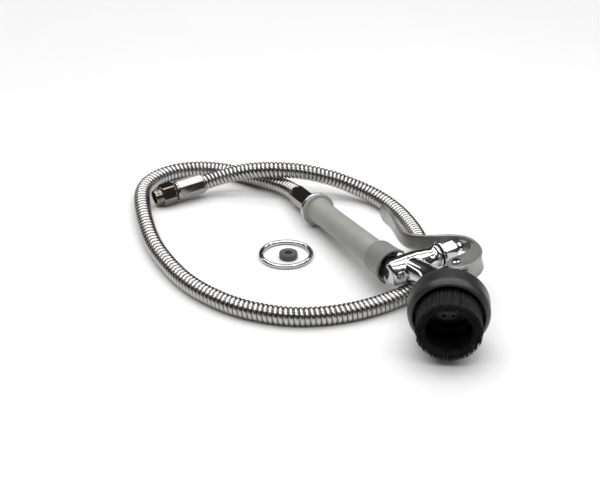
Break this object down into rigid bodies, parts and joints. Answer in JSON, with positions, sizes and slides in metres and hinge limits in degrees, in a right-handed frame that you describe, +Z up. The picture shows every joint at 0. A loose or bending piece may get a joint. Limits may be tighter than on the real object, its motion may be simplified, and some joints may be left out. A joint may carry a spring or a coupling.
{
  "type": "pre-rinse spray hose assembly",
  "caption": "Squeeze spray valve with scrubbing brush, insulated handle and flexible metal hose, laid in a loop, with a loose hold-down ring and hose washer.",
  "frame": {"origin": "on the table top, under the middle of the spray valve's and the loose pieces' box, hose left out", "axes": "+Z up, +X along the handle towards the spray head, +Y towards the squeeze lever"},
  "size_m": [0.4868, 0.2798, 0.0736],
  "materials": {
    "chrome_body": "polished",
    "chrome_nut": "polished",
    "black_seal": "matt",
    "nylon": "moulded",
    "grey_grip": "satin moulded",
    "grey_bell": "satin moulded",
    "chrome_ferrule": "polished",
    "steel_hose": "strip-wound, polished",
    "brass": "machined",
    "spring_steel": "drawn wire",
    "satin_lever": "satin cast",
    "steel_face": "pressed",
    "black_bumper": "moulded",
    "black_carrier": "moulded",
    "black_bristle": "bristles",
    "chrome_ring": "polished",
    "grey_washer": "matt"
  },
  "bodies": {
    "valve_and_hose": {"valve_body": "chrome_body", "inlet_nut": "chrome_nut", "inlet_washer": "black_seal", "handle_tube": "chrome_nut", "grip_bush_rear": "nylon", "grip_bush_front": "nylon", "grip_sleeve": "grey_grip", "grip_bell": "grey_bell", "grip_end_cap": "chrome_nut", "handle_ferrule": "chrome_ferrule", "supply_ferrule": "chrome_ferrule", "adapter_washer": "black_seal", "hose": "steel_hose", "valve_seat": "brass", "closing_spring": "spring_steel", "bonnet": "chrome_nut", "bonnet_gasket": "black_seal", "stem_o_ring": "black_seal", "lever_pin": "chrome_nut", "lever_pin_clip": "spring_steel", "spray_face": "steel_face", "face_screw": "spring_steel", "face_gasket": "black_seal", "bumper": "black_bumper", "brush_carrier": "black_carrier", "bristle_ring": "black_bristle"},
    "lever": {"lever": "satin_lever"},
    "stem": {"stem": "brass", "stem_button": "chrome_nut", "seat_washer": "black_seal"},
    "supply_nut": {"supply_adapter": "chrome_nut"},
    "ring": {"hold_down_ring": "chrome_ring"},
    "washer": {"hose_washer": "grey_washer"}
  },
  "joints": [
    {"name": "lever_squeeze", "type": "hinge", "parent": "valve_and_hose", "child": "lever", "pos_m": [0.07715, 0.04678, 0.03915], "axis": [-0.0725, -0.1392, 0.9876], "range_deg": [0, 9], "stiffness_Nm_per_rad": 3, "springref_deg": -2.86},
    {"name": "stem_push", "type": "slide", "parent": "valve_and_hose", "child": "stem", "axis": [0.0102, -0.9903, -0.1388], "range_m": [0, 0.0055], "deforming": ["closing_spring"]},
    {"name": "supply_swivel", "type": "hinge", "parent": "valve_and_hose", "child": "supply_nut", "pos_m": [-0.2443, -0.0802, 0.0166], "axis": [0.0487, -0.995, -0.0872], "continuous": true},
    {"name": "ring_lift", "type": "slide", "parent": "valve_and_hose", "child": "ring", "axis": [0, 0, 1], "range_m": [0, 0.05]},
    {"name": "washer_lift", "type": "slide", "parent": "valve_and_hose", "child": "washer", "axis": [0, 0, 1], "range_m": [0, 0.05]}
  ],
  "couplings": [
    {"joint": "stem_push", "follows": "lever_squeeze", "m_per_rad": 0.035}
  ]
}
